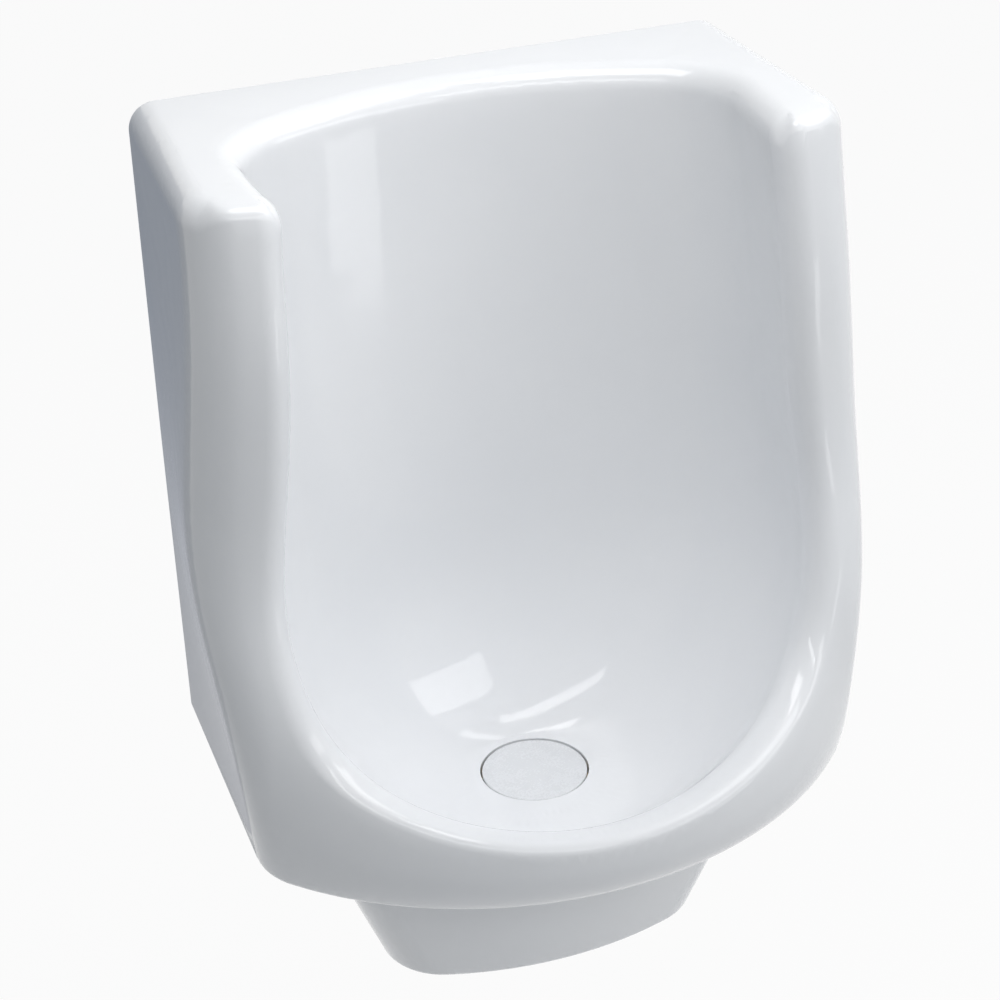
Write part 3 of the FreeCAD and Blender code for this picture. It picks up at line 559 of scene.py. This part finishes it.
def along_screw(tree, geometry, distance, turn):
    """Slide a part of the screw along its Z, turned over first if asked."""
    offset = geometry_node(tree, "ShaderNodeCombineXYZ", {"Z": distance})
    return geometry_node(
        tree, "GeometryNodeTransform",
        {"Geometry": geometry, "Translation": offset.outputs["Vector"], "Rotation": (turn, 0.0, 0.0)},
    ).outputs["Geometry"]


def screw_head(tree, sizes):
    prism_height = math_node(tree, "SUBTRACT", sizes["Head Height"], sizes["Chamfer"])
    prism = geometry_node(
        tree, "GeometryNodeMeshCylinder",
        {"Vertices": HEAD_SIDES, "Radius": sizes["Head Radius"], "Depth": prism_height},
    )
    middle = math_node(tree, "MULTIPLY", prism_height, -0.5)
    return along_screw(tree, tapered(tree, prism, sizes["Chamfer"], HEAD_TOP_SHARE), middle, math.pi)


def screw_shank(tree, sizes):
    root = math_node(tree, "SUBTRACT", sizes["Shank Radius"], sizes["Thread Depth"])
    plain = math_node(tree, "SUBTRACT", sizes["Shank Length"], sizes["Tip Length"])
    bar = geometry_node(
        tree, "GeometryNodeMeshCylinder", {"Vertices": SHANK_SIDES, "Radius": root, "Depth": plain}
    )
    middle = math_node(tree, "MULTIPLY", plain, 0.5)
    shank = along_screw(tree, tapered(tree, bar, sizes["Tip Length"], TIP_SHARE), middle, 0.0)
    turns = math_node(tree, "DIVIDE", plain, sizes["Thread Pitch"])
    helix = geometry_node(
        tree, "GeometryNodeCurveSpiral",
        {"Resolution": SHANK_SIDES, "Rotations": turns, "Start Radius": root, "End Radius": root,
         "Height": plain},
    )
    ridge = geometry_node(
        tree, "GeometryNodeCurvePrimitiveCircle",
        {"Resolution": RIDGE_SIDES, "Radius": sizes["Thread Depth"]},
    )
    upright = geometry_node(
        tree, "GeometryNodeSetCurveNormal", {"Curve": helix.outputs["Curve"]}, mode="Z_UP"
    )
    thread = geometry_node(
        tree, "GeometryNodeCurveToMesh",
        {"Curve": upright.outputs["Curve"], "Profile Curve": ridge.outputs["Curve"], "Fill Caps": True},
    )
    return shank, thread.outputs["Mesh"]


def make_screw_tree(sizes, finish):
    """Two threaded hex-head screws, each with its Z turned into the wall."""
    tree = bpy.data.node_groups.new("flange_screws", "GeometryNodeTree")
    for label, value in sizes.items():
        socket = tree.interface.new_socket(label, in_out="INPUT", socket_type="NodeSocketFloat")
        socket.default_value = value
    tree.interface.new_socket("Screws", in_out="OUTPUT", socket_type="NodeSocketGeometry")
    given = tree.nodes.new("NodeGroupInput").outputs
    screw = tree.nodes.new("GeometryNodeJoinGeometry")
    for part in (screw_head(tree, given), *screw_shank(tree, given)):
        tree.links.new(part, screw.inputs["Geometry"])
    aside = math_node(tree, "MULTIPLY", given["Screw Spacing"], 0.5)
    other_side = math_node(tree, "MULTIPLY", aside, -1.0)
    ends = [
        geometry_node(tree, "ShaderNodeCombineXYZ", {"X": x, "Y": given["Seat"]}).outputs["Vector"]
        for x in (other_side, aside)
    ]
    places = geometry_node(
        tree, "GeometryNodeMeshLine", {"Count": 2, "Start Location": ends[0], "Offset": ends[1]},
        mode="END_POINTS",
    )
    screws = geometry_node(
        tree, "GeometryNodeInstanceOnPoints",
        {"Points": places.outputs["Mesh"], "Instance": screw.outputs["Geometry"],
         "Rotation": (-math.pi / 2, 0.0, 0.0)},
    )
    real = geometry_node(
        tree, "GeometryNodeRealizeInstances", {"Geometry": screws.outputs["Instances"]}
    )
    plated = geometry_node(
        tree, "GeometryNodeSetMaterial", {"Geometry": real.outputs["Geometry"], "Material": finish}
    )
    result = tree.nodes.new("NodeGroupOutput")
    tree.links.new(plated.outputs["Geometry"], result.inputs["Screws"])
    return tree


def hex_screws():
    """The flange's two screws, made by their node tree and kept as a plain mesh."""
    low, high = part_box("flange_screws")
    seat = low.y + HEAD_HEIGHT
    sizes = {
        "Head Radius": HEAD_RADIUS,
        "Head Height": HEAD_HEIGHT,
        "Chamfer": HEAD_CHAMFER,
        "Shank Radius": SHANK_RADIUS,
        "Shank Length": high.y - seat,
        "Thread Depth": THREAD_DEPTH,
        "Thread Pitch": THREAD_PITCH,
        "Tip Length": TIP_LENGTH,
        "Screw Spacing": high.x - low.x - 2 * HEAD_RADIUS,
        "Seat": seat,
    }
    tree = make_screw_tree(sizes, ZINC)
    maker = bpy.data.objects.new("screw_maker", bpy.data.meshes.new("screw_maker"))
    scene.collection.objects.link(maker)
    modifier = maker.modifiers.new("screws", "NODES")
    modifier.node_group = tree
    for socket in tree.interface.items_tree:
        if socket.in_out == "INPUT":
            modifier[socket.identifier] = sizes[socket.name]
    made = maker.evaluated_get(bpy.context.evaluated_depsgraph_get())
    mesh = bpy.data.meshes.new_from_object(made)
    mesh.name = "hex_screws"
    for index in reversed(range(len(mesh.materials))):
        if mesh.materials[index] is None:
            mesh.materials.pop(index=index)
    bpy.data.objects.remove(maker)
    piece = bpy.data.objects.new("hex_screws", mesh)
    scene.collection.objects.link(piece)
    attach(piece, "urinal")
    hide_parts("flange_screws")


hex_screws()


# Floor, light and camera.

def see_white(tree):
    """1 for the rays that should see the plain white background."""
    path = tree.nodes.new("ShaderNodeLightPath")
    seen = math_node(tree, "MAXIMUM", path.outputs["Is Camera Ray"], path.outputs["Is Glossy Ray"])
    return math_node(tree, "MAXIMUM", seen, path.outputs["Is Transmission Ray"])


def make_floor(height, reach):
    mesh = bpy.data.meshes.new("floor")
    sides = ((-1, -1), (1, -1), (1, 1), (-1, 1))
    mesh.from_pydata([(x * reach, y * reach, height) for x, y in sides], [], [(0, 1, 2, 3)])
    floor = bpy.data.objects.new("floor", mesh)
    scene.collection.objects.link(floor)
    material = bpy.data.materials.new("pale_floor")
    material.use_nodes = True
    tree = material.node_tree
    shader = tree.nodes["Principled BSDF"]
    shader.inputs["Base Color"].default_value = (0.82, 0.82, 0.82, 1.0)
    shader.inputs["Roughness"].default_value = 0.9
    shader.inputs["Specular IOR Level"].default_value = 0.0
    white = tree.nodes.new("ShaderNodeEmission")
    white.inputs["Color"].default_value = (1.0, 1.0, 1.0, 1.0)
    blend = tree.nodes.new("ShaderNodeMixShader")
    tree.links.new(math_node(tree, "MULTIPLY", see_white(tree), 0.94), blend.inputs["Fac"])
    tree.links.new(shader.outputs["BSDF"], blend.inputs[1])
    tree.links.new(white.outputs["Emission"], blend.inputs[2])
    tree.links.new(blend.outputs["Shader"], tree.nodes["Material Output"].inputs["Surface"])
    mesh.materials.append(material)


def make_world(colour, strength):
    world = bpy.data.worlds.new("studio")
    world.use_nodes = True
    tree = world.node_tree
    soft = tree.nodes["Background"]
    soft.inputs["Color"].default_value = (*colour, 1.0)
    soft.inputs["Strength"].default_value = strength
    white = tree.nodes.new("ShaderNodeBackground")
    white.inputs["Color"].default_value = (1.0, 1.0, 1.0, 1.0)
    blend = tree.nodes.new("ShaderNodeMixShader")
    tree.links.new(see_white(tree), blend.inputs["Fac"])
    tree.links.new(soft.outputs["Background"], blend.inputs[1])
    tree.links.new(white.outputs["Background"], blend.inputs[2])
    tree.links.new(blend.outputs["Shader"], tree.nodes["World Output"].inputs["Surface"])
    scene.world = world


def make_softbox(name, place, target, size, power, colour):
    data = bpy.data.lights.new(name, "AREA")
    data.shape = "RECTANGLE"
    data.size, data.size_y = size
    data.energy = power
    data.color = colour
    light = bpy.data.objects.new(name, data)
    light.location = place
    light.visible_camera = False
    light.rotation_euler = (Vector(target) - Vector(place)).to_track_quat("-Z", "Y").to_euler()
    scene.collection.objects.link(light)


def make_reflection_card(name, place, heights, half_width):
    """A glowing grey card behind the object, out of the camera's sight, for the glazed side to reflect:
    a painted reflection, darker towards the top.
    """
    x, y = place
    low, high = heights
    left, right = x - half_width, x + half_width
    mesh = bpy.data.meshes.new(name)
    corners = [(left, y, low), (right, y, low), (right, y, high), (left, y, high)]
    mesh.from_pydata(corners, [], [(0, 1, 2, 3)])
    card = bpy.data.objects.new(name, mesh)
    scene.collection.objects.link(card)
    card.visible_camera = False
    card.visible_diffuse = False
    card.visible_shadow = False
    material = bpy.data.materials.new("painted_reflection_card")
    material.use_nodes = True
    tree = material.node_tree
    place = tree.nodes.new("ShaderNodeTexCoord").outputs["Object"]
    axes = tree.nodes.new("ShaderNodeSeparateXYZ")
    tree.links.new(place, axes.inputs["Vector"])
    shade = map_range(tree, axes.outputs["Z"], -0.3, 0.35, 0.0, 1.0)
    # The card glows instead of being lit, so the grey is a painted reflection on the glaze, darker
    # towards the top.
    glow = tree.nodes.new("ShaderNodeEmission")
    tree.links.new(mix_colour(tree, shade, (0.52, 0.53, 0.56), (0.25, 0.28, 0.34)), glow.inputs["Color"])
    tree.links.new(glow.outputs["Emission"], tree.nodes["Material Output"].inputs["Surface"])
    mesh.materials.append(material)


def make_camera(eye, right, up, lens):
    data = bpy.data.cameras.new("camera")
    data.lens = lens
    data.sensor_width = 36.0
    camera = bpy.data.objects.new("camera", data)
    back = Vector(right).cross(Vector(up))
    axes = Matrix((right, up, back)).transposed()
    camera.matrix_world = Matrix.Translation(eye) @ axes.to_4x4()
    scene.collection.objects.link(camera)
    scene.camera = camera


WHITE = (1.0, 1.0, 1.0)
WARM_WHITE = (1.0, 0.99, 0.98)
SOFTBOXES = [
    ("overhead", (-0.1, -0.38, 1.5), (0.0, -0.15, 0.3), (0.7, 0.5), 5.0, WARM_WHITE),
    ("over_right", (1.3, -0.5, 1.9), (0.0, -0.15, 0.35), (1.4, 1.4), 15.5, WHITE),
    ("front_right", (1.6, -1.9, 0.9), (0.0, -0.15, 0.3), (1.8, 0.5), 6.5, WHITE),
    ("front_strip", (-0.25, -2.1, 1.8), (0.0, -0.15, 0.15), (2.6, 0.3), 8.5, WHITE),
    ("low_right", (1.22, -1.3, -0.1), (-0.09, -0.06, 0.53), (0.42, 0.28), 0.55, WHITE),
]

make_floor(height=-0.44, reach=8.0)
make_world(colour=(0.89, 0.945, 1.0), strength=0.255)
for name, place, target, size, power, colour in SOFTBOXES:
    make_softbox(name, place, target, size, power, colour)
# A glowing card seen only in reflections: it paints a darker reflection on the glazed side.
make_reflection_card("rear_painted_reflection", place=(-0.55, 0.5), heights=(-0.44, 0.75), half_width=0.4)
make_camera(
    eye=(-0.53108, -1.7064, 1.21957),
    right=(0.942169, -0.333528, -0.032804),
    up=(0.187983, 0.444905, 0.875627),
    lens=91.8,
)
